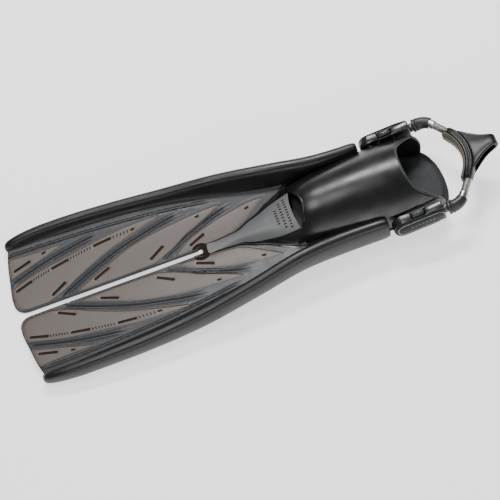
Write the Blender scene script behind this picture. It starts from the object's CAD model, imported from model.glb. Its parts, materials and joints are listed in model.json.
import json
import math

import bmesh
import bpy
import numpy as np
from mathutils import Matrix, Vector
from mathutils.geometry import delaunay_2d_cdt

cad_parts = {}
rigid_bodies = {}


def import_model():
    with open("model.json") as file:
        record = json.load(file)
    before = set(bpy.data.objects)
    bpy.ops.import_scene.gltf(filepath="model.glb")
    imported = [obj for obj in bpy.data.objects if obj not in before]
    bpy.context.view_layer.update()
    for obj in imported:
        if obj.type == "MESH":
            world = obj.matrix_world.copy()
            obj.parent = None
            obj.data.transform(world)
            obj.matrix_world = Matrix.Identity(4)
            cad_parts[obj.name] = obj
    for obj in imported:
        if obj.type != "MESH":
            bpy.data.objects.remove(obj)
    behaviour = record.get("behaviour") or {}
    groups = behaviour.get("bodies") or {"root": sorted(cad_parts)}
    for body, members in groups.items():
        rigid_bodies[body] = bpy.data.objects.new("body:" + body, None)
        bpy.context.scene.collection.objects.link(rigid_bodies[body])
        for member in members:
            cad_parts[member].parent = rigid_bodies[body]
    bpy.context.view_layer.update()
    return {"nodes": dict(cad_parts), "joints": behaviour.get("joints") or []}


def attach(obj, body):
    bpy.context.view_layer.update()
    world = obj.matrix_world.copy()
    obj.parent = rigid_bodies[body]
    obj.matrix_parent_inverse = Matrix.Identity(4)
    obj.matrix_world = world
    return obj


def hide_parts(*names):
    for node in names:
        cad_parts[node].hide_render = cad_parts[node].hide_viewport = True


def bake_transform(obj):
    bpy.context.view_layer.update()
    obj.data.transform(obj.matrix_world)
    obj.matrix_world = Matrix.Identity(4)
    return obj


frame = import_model()
sides = {"right": 1, "left": -1}


# Pieces are drawn in the blade's own frame, in millimetres: X from the tip to the heel, Y across, Z up.
# Two joints known in both frames give the pitch and the shift that set the fin on the floor.

postInBlade = (502, 2)
flexInBlade = (386, 10)


def jointPoint(name):
    joint = next(j for j in frame["joints"] if j["name"] == name)
    return joint["pos_m"][0] * 1000, joint["pos_m"][2] * 1000


def angleBetween(a, b):
    return math.atan2(b[1] - a[1], b[0] - a[0])


postOnFloor = jointPoint("strap_swing")
flexOnFloor = jointPoint("left_blade_flex")
pitch = angleBetween(flexOnFloor, postOnFloor) - angleBetween(flexInBlade, postInBlade)


def place(points):
    # Blade frame in millimetres to the object's frame in metres.
    p = np.asarray(points, float).reshape(-1, 3)
    x = p[:, 0] - flexInBlade[0]
    z = p[:, 2] - flexInBlade[1]
    across = x * math.cos(pitch) - z * math.sin(pitch) + flexOnFloor[0]
    up = x * math.sin(pitch) + z * math.cos(pitch) + flexOnFloor[1]
    return np.stack([across, p[:, 1], up], 1) / 1000


buckleTilt = math.radians(5)


def strapPoints(points):
    # The strap's own frame, with its origin on the line of the posts, to the blade frame.
    p = np.asarray(points, float).reshape(-1, 3)
    x = p[:, 0] * math.cos(buckleTilt) - p[:, 2] * math.sin(buckleTilt) + postInBlade[0]
    z = p[:, 0] * math.sin(buckleTilt) + p[:, 2] * math.cos(buckleTilt) + postInBlade[1]
    return np.stack([x, p[:, 1], z], 1)


# Mesh helpers.

def newPiece(name, verts, faces, materials, faceMaterials=None, sharp=35):
    mesh = bpy.data.meshes.new(name)
    mesh.from_pydata([tuple(v) for v in verts], [], [tuple(int(i) for i in f) for f in faces])
    for material in materials:
        mesh.materials.append(material)
    if faceMaterials is not None:
        mesh.polygons.foreach_set("material_index", np.asarray(faceMaterials, np.int32))
    mesh.polygons.foreach_set("use_smooth", np.ones(len(mesh.polygons), bool))
    tidy = bmesh.new()
    tidy.from_mesh(mesh)
    bmesh.ops.remove_doubles(tidy, verts=tidy.verts, dist=1e-6)
    bmesh.ops.recalc_face_normals(tidy, faces=tidy.faces)
    tidy.to_mesh(mesh)
    tidy.free()
    mesh.set_sharp_from_angle(angle=math.radians(sharp))
    piece = bpy.data.objects.new(name, mesh)
    bpy.context.scene.collection.objects.link(piece)
    return piece


def applyModifiers(piece, sharp=35):
    graph = bpy.context.evaluated_depsgraph_get()
    mesh = bpy.data.meshes.new_from_object(piece.evaluated_get(graph))
    piece.modifiers.clear()
    piece.data = mesh
    mesh.polygons.foreach_set("use_smooth", np.ones(len(mesh.polygons), bool))
    mesh.set_sharp_from_angle(angle=math.radians(sharp))
    return piece


def rounded(piece, width, segments=3, angle=40, sharp=50):
    bevel = piece.modifiers.new("Bevel", "BEVEL")
    bevel.width = width / 1000
    bevel.segments = segments
    bevel.limit_method = "ANGLE"
    bevel.angle_limit = math.radians(angle)
    bevel.harden_normals = True
    return applyModifiers(piece, sharp)


def smoothed(piece, levels=1, sharp=50):
    subdivision = piece.modifiers.new("Subdivision", "SUBSURF")
    subdivision.levels = levels
    subdivision.render_levels = levels
    return applyModifiers(piece, sharp)


def hermite(points, step):
    # A smooth curve through the points, sampled about every step.
    p = np.asarray(points, float)
    if len(p) == 2:
        count = max(2, int(np.linalg.norm(p[1] - p[0]) / step) + 1)
        return p[0] + (p[1] - p[0]) * np.linspace(0, 1, count)[:, None]
    lengths = np.linalg.norm(np.diff(p, axis=0), axis=1)
    t = np.concatenate([[0], np.cumsum(lengths)])
    slope = np.diff(p, axis=0) / lengths[:, None]
    tangent = np.empty_like(p)
    weight = lengths[1:, None] / (lengths[1:, None] + lengths[:-1, None])
    tangent[1:-1] = slope[:-1] * weight + slope[1:] * (1 - weight)
    tangent[0] = 1.5 * slope[0] - 0.5 * tangent[1]
    tangent[-1] = 1.5 * slope[-1] - 0.5 * tangent[-2]
    out = []
    for i, length in enumerate(lengths):
        count = max(2, int(length / step) + 1)
        for u in np.linspace(0, 1, count, endpoint=False):
            a = 2 * u**3 - 3 * u**2 + 1
            b = u**3 - 2 * u**2 + u
            c = -2 * u**3 + 3 * u**2
            d = u**3 - u**2
            out.append(a * p[i] + b * length * tangent[i] + c * p[i + 1] + d * length * tangent[i + 1])
    out.append(p[-1])
    return np.array(out)


def loopOf(runs, step):
    # A closed outline from runs of points; each run ends where the next one starts.
    parts = [hermite(run, step)[:-1] for run in runs]
    return np.concatenate(parts)


def barLoop(start, end, width, arcPoints=6):
    a = np.array(start, float)
    b = np.array(end, float)
    heading = math.atan2(b[1] - a[1], b[0] - a[0])
    points = []
    for centre, first in ((b, heading - math.pi / 2), (a, heading + math.pi / 2)):
        for k in range(arcPoints + 1):
            angle = first + math.pi * k / arcPoints
            points.append(centre + width / 2 * np.array([math.cos(angle), math.sin(angle)]))
    return np.array(points)


def segmentDistance(points, line, closed=False):
    # Distance from each point to a polyline.
    a = line if closed else line[:-1]
    b = np.roll(line, -1, axis=0) if closed else line[1:]
    ab = b - a
    best = np.full(len(points), 1e9)
    for start in range(0, len(a), 64):
        s = slice(start, start + 64)
        ap = points[:, None, :] - a[None, s]
        t = np.clip((ap * ab[None, s]).sum(2) / np.maximum((ab[s] ** 2).sum(1), 1e-12), 0, 1)
        away = np.linalg.norm(ap - t[..., None] * ab[None, s], axis=2).min(1)
        best = np.minimum(best, away)
    return best


def inside(points, loop):
    x, y = points[:, 0], points[:, 1]
    result = np.zeros(len(points), bool)
    a = loop
    b = np.roll(loop, -1, axis=0)
    for (x1, y1), (x2, y2) in zip(a, b):
        crosses = (y1 > y) != (y2 > y)
        if not crosses.any():
            continue
        at = x1 + (y - y1) * (x2 - x1) / (y2 - y1 if y2 != y1 else 1e-12)
        result ^= crosses & (x < at)
    return result


def offsetLine(line, away):
    step = np.gradient(line, axis=0)
    step /= np.maximum(np.linalg.norm(step, axis=1), 1e-9)[:, None]
    return line + away * np.stack([-step[:, 1], step[:, 0]], 1)


def grid(rows, columns, closedRows=False, closedColumns=False):
    # Quads of a sheet whose vertices run row by row.
    faces = []
    for i in range(rows if closedRows else rows - 1):
        for j in range(columns if closedColumns else columns - 1):
            a = i * columns + j
            b = i * columns + (j + 1) % columns
            c = ((i + 1) % rows) * columns + (j + 1) % columns
            d = ((i + 1) % rows) * columns + j
            faces.append((a, b, c, d))
    return faces


def tube(path, radius, around=16, caps=True):
    # A tube along a path of points, with a radius for each point.
    path = np.asarray(path, float)
    radii = np.broadcast_to(np.asarray(radius, float), len(path))
    direction = np.gradient(path, axis=0)
    direction /= np.maximum(np.linalg.norm(direction, axis=1), 1e-12)[:, None]
    normal = np.cross(direction[0], [0, 0, 1])
    if np.linalg.norm(normal) < 1e-3:
        normal = np.cross(direction[0], [0, 1, 0])
    verts = []
    for p, d, r in zip(path, direction, radii):
        normal = normal - d * np.dot(normal, d)
        normal /= np.linalg.norm(normal)
        other = np.cross(d, normal)
        for k in range(around):
            angle = 2 * math.pi * k / around
            verts.append(p + r * (math.cos(angle) * normal + math.sin(angle) * other))
    faces = grid(len(path), around, closedColumns=True)
    if caps:
        faces.append(tuple(range(around)))
        faces.append(tuple(reversed(range((len(path) - 1) * around, len(path) * around))))
    return np.array(verts), faces


def startTree(name, inputs):
    tree = bpy.data.node_groups.new(name, "GeometryNodeTree")
    tree.interface.new_socket("Guide", in_out="INPUT", socket_type="NodeSocketGeometry")
    for label, kind in inputs:
        tree.interface.new_socket(label, in_out="INPUT", socket_type="NodeSocket" + kind)
    tree.interface.new_socket("Geometry", in_out="OUTPUT", socket_type="NodeSocketGeometry")
    given = tree.nodes.new("NodeGroupInput").outputs
    guide = tree.nodes.new("GeometryNodeMeshToCurve")
    tree.links.new(given["Guide"], guide.inputs["Mesh"])
    resampled = tree.nodes.new("GeometryNodeResampleCurve")
    tree.links.new(guide.outputs["Curve"], resampled.inputs["Curve"])
    return tree, given, resampled


def finishTree(tree, given, geometry):
    real = tree.nodes.new("GeometryNodeRealizeInstances")
    painted = tree.nodes.new("GeometryNodeSetMaterial")
    tree.links.new(geometry, real.inputs["Geometry"])
    tree.links.new(real.outputs["Geometry"], painted.inputs["Geometry"])
    tree.links.new(given["Material"], painted.inputs["Material"])
    tree.links.new(painted.outputs["Geometry"], tree.nodes.new("NodeGroupOutput").inputs["Geometry"])
    return tree


def makeWireTree():
    # A wire along a guide, wound round it when it has turns and a coil radius.
    tree, given, curve = startTree("wire", [("Coil Radius", "Float"), ("Wire Radius", "Float"), ("Turns", "Float"),
                                            ("Steps", "Int"), ("Sides", "Int"), ("Material", "Material")])
    link = tree.links.new
    link(given["Steps"], curve.inputs["Count"])

    def maths(kind, first, second=None):
        node = tree.nodes.new("ShaderNodeMath")
        node.operation = kind
        link(first, node.inputs[0])
        if isinstance(second, float):
            node.inputs[1].default_value = second
        elif second is not None:
            link(second, node.inputs[1])
        return node.outputs[0]

    def vectors(kind, first, second):
        node = tree.nodes.new("ShaderNodeVectorMath")
        node.operation = kind
        link(first, node.inputs[0])
        link(second, node.inputs["Scale"] if kind == "SCALE" else node.inputs[1])
        return node.outputs["Vector"]

    along = tree.nodes.new("GeometryNodeSplineParameter").outputs["Factor"]
    angle = maths("MULTIPLY", maths("MULTIPLY", along, given["Turns"]), 2 * math.pi)
    normal = tree.nodes.new("GeometryNodeInputNormal").outputs["Normal"]
    across = vectors("CROSS_PRODUCT", normal, tree.nodes.new("GeometryNodeInputTangent").outputs["Tangent"])
    ring = vectors("ADD", vectors("SCALE", normal, maths("COSINE", angle)),
                   vectors("SCALE", across, maths("SINE", angle)))
    wound = tree.nodes.new("GeometryNodeSetPosition")
    link(curve.outputs["Curve"], wound.inputs["Geometry"])
    link(vectors("SCALE", ring, given["Coil Radius"]), wound.inputs["Offset"])
    profile = tree.nodes.new("GeometryNodeCurvePrimitiveCircle")
    link(given["Sides"], profile.inputs["Resolution"])
    link(given["Wire Radius"], profile.inputs["Radius"])
    swept = tree.nodes.new("GeometryNodeCurveToMesh")
    link(wound.outputs["Geometry"], swept.inputs["Curve"])
    link(profile.outputs["Curve"], swept.inputs["Profile Curve"])
    swept.inputs["Fill Caps"].default_value = True
    return finishTree(tree, given, swept.outputs["Mesh"])


def makeRowTree():
    # A block repeated at even steps along a guide.
    tree, given, curve = startTree("row", [("Count", "Int"), ("Size", "Vector"), ("Turn", "Rotation"),
                                           ("Material", "Material")])
    link = tree.links.new
    link(given["Count"], curve.inputs["Count"])
    points = tree.nodes.new("GeometryNodeCurveToPoints")
    points.mode = "EVALUATED"
    link(curve.outputs["Curve"], points.inputs["Curve"])
    block = tree.nodes.new("GeometryNodeMeshCube")
    link(given["Size"], block.inputs["Size"])
    placed = tree.nodes.new("GeometryNodeInstanceOnPoints")
    link(points.outputs["Points"], placed.inputs["Points"])
    link(block.outputs["Mesh"], placed.inputs["Instance"])
    link(given["Turn"], placed.inputs["Rotation"])
    return finishTree(tree, given, placed.outputs["Instances"])


def grown(name, tree, guides, values, look, shape, sharp=60):
    # A tree's result as a plain mesh, brought from its own frame in mm to the floor frame by shape.
    verts, edges = [], []
    for line, closed in guides:
        first = len(verts)
        verts += [tuple(point) for point in line]
        edges += [(k, k + 1) for k in range(first, len(verts) - 1)]
        if closed:
            edges.append((len(verts) - 1, first))
    guide = bpy.data.meshes.new(name)
    guide.from_pydata(verts, edges, [])
    piece = bpy.data.objects.new(name, guide)
    bpy.context.scene.collection.objects.link(piece)
    modifier = piece.modifiers.new("Nodes", "NODES")
    modifier.node_group = tree
    values = dict(values, Material=looks[look])
    for item in tree.interface.items_tree:
        if item.in_out == "INPUT" and item.name in values:
            modifier[item.identifier] = values[item.name]
    applyModifiers(piece)
    mesh = piece.data
    points = np.zeros(len(mesh.vertices) * 3, np.float32)
    mesh.vertices.foreach_get("co", points)
    mesh.vertices.foreach_set("co", shape(points.reshape(-1, 3)).astype(np.float32).ravel())
    tidy = bmesh.new()
    tidy.from_mesh(mesh)
    bmesh.ops.recalc_face_normals(tidy, faces=tidy.faces)
    tidy.to_mesh(mesh)
    tidy.free()
    mesh.polygons.foreach_set("use_smooth", np.ones(len(mesh.polygons), bool))
    mesh.set_sharp_from_angle(angle=math.radians(sharp))
    mesh.update()
    return piece


def joined(parts):
    # Several lists of vertices and faces as one.
    verts, faces, start = [], [], 0
    for v, f in parts:
        verts.append(v)
        faces += [tuple(i + start for i in face) for face in f]
        start += len(v)
    return np.concatenate(verts), faces


def smoothStep(value, low, high):
    t = np.clip((value - low) / (high - low), 0, 1)
    return t * t * (3 - 2 * t)


# Materials.

def newMaterial(name, colour, roughness, metallic=0, coat=0, variation=0.15, variationScale=40,
                grain=0.1, grainScale=900, roughSpread=0.06, specular=0.5, glow=0):
    # A moulded surface: slow changes of tone and gloss, and a fine grain in the bump.
    material = bpy.data.materials.new(name)
    material.use_nodes = True
    nodes = material.node_tree.nodes
    links = material.node_tree.links
    shader = nodes["Principled BSDF"]
    shader.inputs["Metallic"].default_value = metallic
    shader.inputs["Coat Weight"].default_value = coat
    shader.inputs["Coat Roughness"].default_value = 0.18
    shader.inputs["Emission Color"].default_value = (1, 1, 1, 1)
    shader.inputs["Emission Strength"].default_value = glow
    shader.inputs["Specular IOR Level"].default_value = specular
    where = nodes.new("ShaderNodeTexCoord")
    slow = nodes.new("ShaderNodeTexNoise")
    slow.inputs["Scale"].default_value = variationScale
    slow.inputs["Detail"].default_value = 4
    links.new(where.outputs["Object"], slow.inputs["Vector"])
    tone = nodes.new("ShaderNodeMix")
    tone.data_type = "RGBA"
    dark = [c * (1 - variation) for c in colour]
    light = [c * (1 + variation) for c in colour]
    tone.inputs["A"].default_value = (*dark, 1)
    tone.inputs["B"].default_value = (*light, 1)
    links.new(slow.outputs["Fac"], tone.inputs["Factor"])
    links.new(tone.outputs["Result"], shader.inputs["Base Color"])
    gloss = nodes.new("ShaderNodeMapRange")
    gloss.inputs["From Min"].default_value = 0.3
    gloss.inputs["From Max"].default_value = 0.7
    gloss.inputs["To Min"].default_value = roughness - roughSpread
    gloss.inputs["To Max"].default_value = roughness + roughSpread
    links.new(slow.outputs["Fac"], gloss.inputs["Value"])
    links.new(gloss.outputs["Result"], shader.inputs["Roughness"])
    fine = nodes.new("ShaderNodeTexNoise")
    fine.inputs["Scale"].default_value = grainScale
    fine.inputs["Detail"].default_value = 3
    links.new(where.outputs["Object"], fine.inputs["Vector"])
    bump = nodes.new("ShaderNodeBump")
    bump.inputs["Strength"].default_value = grain
    bump.inputs["Distance"].default_value = 0.0004
    links.new(fine.outputs["Fac"], bump.inputs["Height"])
    links.new(bump.outputs["Normal"], shader.inputs["Normal"])
    return material


looks = {
    "railRubber": newMaterial("railRubber", (0.005, 0.0052, 0.0056), 0.4, variation=0.15, grain=0.02),
    "pocketRubber": newMaterial("pocketRubber", (0.005, 0.0052, 0.0055), 0.32, variation=0.15, grain=0.01),
    "rimRubber": newMaterial("rimRubber", (0.028, 0.029, 0.03), 0.4),
    "frameGrey": newMaterial("frameGrey", (0.036, 0.039, 0.043), 0.38, variation=0.12, grain=0.03, specular=0.36),
    "grooveDark": newMaterial("grooveDark", (0.006, 0.006, 0.007), 0.6, specular=0.15),
    "plateGrey": newMaterial("plateGrey", (0.13, 0.131, 0.133), 0.38, variation=0.08, grain=0.06),
    "panelSmoke": newMaterial("panelSmoke", (0.12, 0.1, 0.089), 0.42, variation=0.1, variationScale=22,
                              grain=0.04, specular=0.4),
    "panelOutline": newMaterial("panelOutline", (0.13, 0.08, 0.05), 0.45),
    "insetBrown": newMaterial("insetBrown", (0.022, 0.012, 0.006), 0.6, specular=0.12),
    "discBrown": newMaterial("discBrown", (0.014, 0.007, 0.004), 0.6, specular=0.08),
    "heelRubber": newMaterial("heelRubber", (0.024, 0.025, 0.027), 0.55, specular=0.3, variation=0.3, variationScale=90,
                              grain=0.5),
    "soleRubber": newMaterial("soleRubber", (0.016, 0.016, 0.017), 0.55, grain=0.6),
    "bucklePlastic": newMaterial("bucklePlastic", (0.009, 0.0095, 0.0105), 0.3, grain=0.04),
    "rearBlock": newMaterial("rearBlock", (0.014, 0.0145, 0.0155), 0.24, coat=0.15, grain=0.03),
    "buttonPlastic": newMaterial("buttonPlastic", (0.012, 0.0127, 0.014), 0.34),
    "badgePlastic": newMaterial("badgePlastic", (0.008, 0.0083, 0.009), 0.45, specular=0.15, grain=0.02),
    "coverPlastic": newMaterial("coverPlastic", (0.007, 0.0073, 0.008), 0.45, specular=0.16, grain=0.03),
    "badgeRing": newMaterial("badgeRing", (0.3, 0.31, 0.32), 0.3, metallic=0.7),
    "sleevePlastic": newMaterial("sleevePlastic", (0.02, 0.021, 0.023), 0.42),
    "steel": newMaterial("steel", (0.5, 0.47, 0.44), 0.32, metallic=1, variation=0.06, grain=0.05),
    "springSteel": newMaterial("springSteel", (0.42, 0.4, 0.375), 0.42, metallic=1, variation=0.05, grain=0.02),
    "cordBlack": newMaterial("cordBlack", (0.02, 0.02, 0.02), 0.8, grain=0.8, grainScale=1500),
    "padRubber": newMaterial("padRubber", (0.006, 0.0062, 0.0068), 0.38, grain=0.04, specular=0.36),
    "liningRubber": newMaterial("liningRubber", (0.14, 0.12, 0.1), 0.5, grain=0.3),
    "tickDark": newMaterial("tickDark", (0.012, 0.01, 0.009), 0.6, specular=0.15),
}
wireTree = makeWireTree()
rowTree = makeRowTree()
print("materials and trees made")


# Blade halves.

blade = {
    "dihedral": 5.54,
    "frameThick": 3.2,
    "panelThick": 2.2,
    "panelSink": 0.45,
    "gridStep": 4.5,
    "outlineStep": 2.2,
    "veinStep": 3,
    "veinOffsets": (-6.4, -5.8, -5.2, -4.6, -3.8, -2.9, -2.1, -1.3, -0.5, 0.5, 1.3, 2.1, 2.9, 3.8, 4.6, 5.2, 5.8,
                    6.4),
    "veinRidge": 1.1,
    "veinGroove": 1.2,
    "insetDepth": 0.9,
    "insetWidth": 3.9,
    "tickWidth": 1.5,
    "beadRise": 1.1,
    "outlineRadius": 0.5,
    "railMargin": 3,
}

slitHalf = 3.2
frameOutline = [
    [(1.5, 99), (-4, 80), (-9, 50), (-12.3, 27), (-12.2, 17)],
    [(-12.2, 17), (-9.5, 10), (-3, 4.8), (5, slitHalf)],
    [(5, slitHalf), (239, slitHalf)],
    [(239, slitHalf), (244, 6.6), (248, 7.1)],
    [(248, 7.1), (266, 8.3), (284, 9.8), (298, 11.8), (313, 18.8), (328, 24.8), (348, 36.8), (368, 45.3),
     (384, 51.5)],
    [(384, 51.5), (396, 53), (386, 59), (366, 62.5), (346, 66), (291, 77.6), (216, 89.2), (145, 97.2),
     (76, 101.3), (39, 101.8), (1.5, 99)],
]
panelOutlines = {
    1: [
        [(0, 83.6), (-1.2, 82), (-4.6, 62), (-4.8, 56.8), (-3.4, 56.3)],
        [(-3.4, 56.3), (30, 66.4), (71.3, 79.3)],
        [(71.3, 79.3), (70.6, 80.5), (67, 80.8), (30, 81.8), (0, 83.6)],
    ],
    2: [
        [(-6.2, 42.2), (-7.4, 40.6), (-9.3, 27), (-8.9, 18), (-4.6, 10.6), (5.4, 7)],
        [(5.4, 7), (32.4, 6.7)],
        [(32.4, 6.7), (54.4, 14), (88, 31), (129, 48.7), (168, 60.7), (205, 71)],
        [(205, 71), (204.6, 72.6), (200, 73), (178, 73.2), (144, 71.5), (88, 63), (33, 53.8), (-6.2, 42.2)],
    ],
    3: [
        [(75, 9), (76.5, 7.2), (83, 6.9), (181, 7.2)],
        [(181, 7.2), (205, 17), (233, 32), (259, 43), (285.5, 56)],
        [(285.5, 56), (285, 57.1), (280, 57.3), (228, 54.3), (186, 48.8), (152, 41), (112, 25), (75, 9)],
    ],
    4: [
        [(210, 7.6), (212, 7), (232, 7.3), (250, 9.2), (270, 10), (290, 12)],
        [(290, 12), (307, 20.5), (320, 29), (344, 45.8)],
        [(344, 45.8), (325, 46), (298, 42), (264, 34), (232, 22.5), (210, 7.6)],
    ],
}
panelBars = {
    1: [((2, 65.3), (24, 71.7)), ((44.8, 76.8), (46.4, 77.2))],
    2: [((-3, 36.4), (18.5, 43.3)), ((50.4, 51), (72.7, 55.3)), ((112, 61.5), (134.6, 63.9)),
        ((41, 14.4), (60.5, 25.1)), ((166.2, 65.3), (167.8, 65.5))],
    3: [((100, 15), (120.5, 23.6)), ((178, 14.9), (197, 26.4)), ((252.2, 50.9), (253.8, 51.1))],
    4: [((233, 14.4), (253, 23.1)), ((317.8, 38.2), (319.4, 38.6))],
}
# Rows of small slanted ticks between the long bars: first place, last place and how many.
tickRows = [((22.8, 44.6), (44.4, 49.6), 7), ((77.8, 56.3), (106, 60.9), 8), ((140, 64.2), (160, 65.2), 5)]
veins = [
    [(-6.5, 48.5), (54, 65.5), (113.5, 75.5), (128, 77)],
    [(50, 6.8), (92, 25.5), (137, 43), (179, 54), (204, 60), (238, 64)],
    [(190, 9.8), (221.5, 24.5), (257, 38.7), (281, 47), (304, 50.8)],
]


# Foot of the rail on the blade; a fine ridge between two grooves runs beside it.
railEdge = [(-1, 91.5), (20, 91.5), (76, 89.6), (145, 85.4), (216, 77.8), (291, 66.2)]


def tickBars():
    bars = []
    for first, last, count in tickRows:
        for k in range(count):
            x = first[0] + (last[0] - first[0]) * k / (count - 1)
            y = first[1] + (last[1] - first[1]) * k / (count - 1)
            bars.append(((x - 0.5, y - 1.4), (x + 0.5, y + 1.4)))
    return bars


def insetLoop(start, end):
    # Long bars have round ends; the short studs are narrower and squarer.
    a, b = np.array(start, float), np.array(end, float)
    length = np.linalg.norm(b - a)
    if length > 5:
        return barLoop(a, b, blade["insetWidth"])
    along = (b - a) / length
    across = np.array([-along[1], along[0]]) * blade["insetWidth"] * 0.42
    middle = (a + b) / 2
    return np.array([middle - along * 3 - across, middle + along * 3 - across, middle + along * 3 + across,
                     middle - along * 3 + across])


def closedSheet(points, top, low, triangles):
    # Top and underside of a flat region, joined by a wall along its open edges.
    count = len(points)
    verts = np.concatenate([np.column_stack([points, top]), np.column_stack([points, low])])
    seen = {}
    for a, b, c in triangles:
        for edge in ((a, b), (b, c), (c, a)):
            seen[edge] = True
    faces = [tuple(t) for t in triangles]
    faces += [(c + count, b + count, a + count) for a, b, c in triangles]
    for a, b in seen:
        if (b, a) not in seen:
            faces.append((b, a, a + count, b + count))
    used = np.unique(np.array([i for f in faces for i in f]))
    index = np.full(len(verts), -1)
    index[used] = np.arange(len(used))
    return verts[used], [tuple(index[i] for i in f) for f in faces]


def ontoHalf(verts, side):
    # The half's own plane, tilted up outwards, to the blade frame.
    angle = math.radians(blade["dihedral"])
    y = verts[:, 1] * math.cos(angle) - verts[:, 2] * math.sin(angle)
    z = verts[:, 1] * math.sin(angle) + verts[:, 2] * math.cos(angle)
    return np.stack([verts[:, 0], side * y, z], 1)


def triangulate(loops, lines, cloud):
    points, edges, start = [], [], 0
    for loop in loops:
        points.append(loop)
        count = len(loop)
        edges += [(start + k, start + (k + 1) % count) for k in range(count)]
        start += count
    fixed = np.concatenate(points)
    extra = np.concatenate(lines + [cloud])
    clear = np.min([segmentDistance(extra, loop, True) for loop in loops], axis=0) > 0.35
    extra = extra[clear]
    keep = [0]
    cell = {}
    for i, p in enumerate(extra):
        key = (int(p[0] / 0.5), int(p[1] / 0.5))
        if key not in cell:
            cell[key] = i
    extra = extra[sorted(cell.values())]
    everything = [Vector(p) for p in np.concatenate([fixed, extra])]
    result = delaunay_2d_cdt(everything, edges, [], 0, 1e-5, False)
    verts = np.array([tuple(v) for v in result[0]])
    faces = np.array(result[2])
    a, b, c = verts[faces[:, 0]], verts[faces[:, 1]], verts[faces[:, 2]]
    turn = (b[:, 0] - a[:, 0]) * (c[:, 1] - a[:, 1]) - (b[:, 1] - a[:, 1]) * (c[:, 0] - a[:, 0])
    faces[turn < 0] = faces[turn < 0][:, ::-1]
    return verts, faces


def makeBladeData():
    outline = loopOf(frameOutline, blade["outlineStep"])
    panels = {n: loopOf(runs, blade["outlineStep"]) for n, runs in panelOutlines.items()}
    bars = {n: [insetLoop(a, b) for a, b in panelBars[n]] for n in panels}
    bars[2] += [barLoop(a, b, blade["tickWidth"], 3) for a, b in tickBars()]
    veinLines = [hermite(v, blade["veinStep"]) for v in veins]
    edgeLine = hermite(railEdge, blade["veinStep"])
    lines = [offsetLine(edgeLine, away) for away in (-5.8, -5.1, -4.7, -4.3, -3.6, -2.7, -1.8, -1.1, -0.7, -0.3, 0.6)]
    for line in veinLines:
        lines += [offsetLine(line, away) for away in blade["veinOffsets"]]
    for panel in panels.values():
        lines += [offsetLine(np.vstack([panel, panel[:1]]), away) for away in (-1.1, 1.2, -2.6)]
    for group in bars.values():
        for bar in group:
            lines.append(bar.mean(0) + (bar - bar.mean(0)) * 0.82)
    lines += [offsetLine(np.vstack([outline, outline[:1]]), away) for away in (0.8, 1.8, 3)]
    step = blade["gridStep"]
    gx, gy = np.meshgrid(np.arange(-14, 400, step), np.arange(2, 104, step))
    cloud = np.stack([gx.ravel(), gy.ravel()], 1)
    nearVein = np.min([segmentDistance(cloud, line) for line in veinLines], axis=0)
    cloud = cloud[(nearVein > 7) & (segmentDistance(cloud, offsetLine(edgeLine, -2.5)) > 4.5)]
    loops = [outline] + list(panels.values()) + [bar for group in bars.values() for bar in group]
    verts, faces = triangulate(loops, lines, cloud)
    centre = verts[faces].mean(1)
    inFrame = inside(centre, outline)
    inPanel = {n: inside(centre, loop) for n, loop in panels.items()}
    inBar = np.zeros(len(centre), bool)
    for group in bars.values():
        for bar in group:
            inBar |= inside(centre, bar)
    return {"outline": outline, "panels": panels, "bars": bars, "veins": veinLines, "verts": verts,
            "edgeLine": edgeLine,
            "faces": faces, "inFrame": inFrame, "inPanel": inPanel, "inBar": inBar}


def frameHeight(points, data):
    # Twin ridges with a groove between them along each vein, and a bead round the outer edge.
    height = np.zeros(len(points))
    for line in data["veins"]:
        away = segmentDistance(points, line)
        fade = smoothStep(points[:, 0], line[0, 0] - 4, line[0, 0] + 12)
        fade *= 1 - smoothStep(points[:, 0], line[-1, 0] - 30, line[-1, 0])
        ridge = blade["veinRidge"] * np.exp(-((away - 2.5) / 1.5) ** 2)
        groove = blade["veinGroove"] * np.exp(-((away / 0.75) ** 2))
        outerGroove = 0.5 * np.exp(-(((away - 5.2) / 0.6) ** 2))
        height += fade * (ridge - groove - outerGroove)
    along = 1 - smoothStep(points[:, 0], 250, 292)
    for shift, depth in ((0, 0.9), (3.6, 0.7)):
        away = segmentDistance(points, offsetLine(data["edgeLine"], shift - 4.5))
        height -= along * depth * np.exp(-((away / 0.55) ** 2))
    away = segmentDistance(points, offsetLine(data["edgeLine"], -2.7))
    height += along * 0.6 * np.exp(-((away / 1.3) ** 2))
    edge = segmentDistance(points, data["outline"], True)
    nearSlit = smoothStep(-points[:, 1], -22, -12) * (1 - smoothStep(points[:, 0], 236, 250))
    height += nearSlit * blade["beadRise"] * np.exp(-(((edge - 1.5) / 1.2) ** 2))
    height -= 0.7 * np.exp(-((edge / 0.5) ** 2))
    for loop in data["panels"].values():
        away = segmentDistance(points, loop, True)
        height += 0.25 * np.exp(-(((away - 1.2) / 0.8) ** 2))
    return height


def inGroove(points, data):
    # The floor of each vein's groove, and of the two grooves beside the rail.
    found = np.zeros(len(points), bool)
    for line in data["veins"]:
        within = (points[:, 0] > line[0, 0] + 3) & (points[:, 0] < line[-1, 0] - 14)
        found |= within & (segmentDistance(points, line) < 0.45)
    for shift in (-4.5, -0.9):
        away = segmentDistance(points, offsetLine(data["edgeLine"], shift))
        found |= (away < 0.35) & (points[:, 0] < 272)
    return found


def panelHeight(points, data, number):
    edge = segmentDistance(points, data["panels"][number], True)
    height = -blade["panelSink"] - 0.35 * np.exp(-((edge / 0.9) ** 2)) + 0.35 * smoothStep(edge, 0, 14)
    for bar in data["bars"][number]:
        within = inside(points, bar)
        depth = segmentDistance(points, bar, True)
        height -= np.where(within, blade["insetDepth"] * smoothStep(depth, 0.02, 0.22), 0)
    return height


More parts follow.
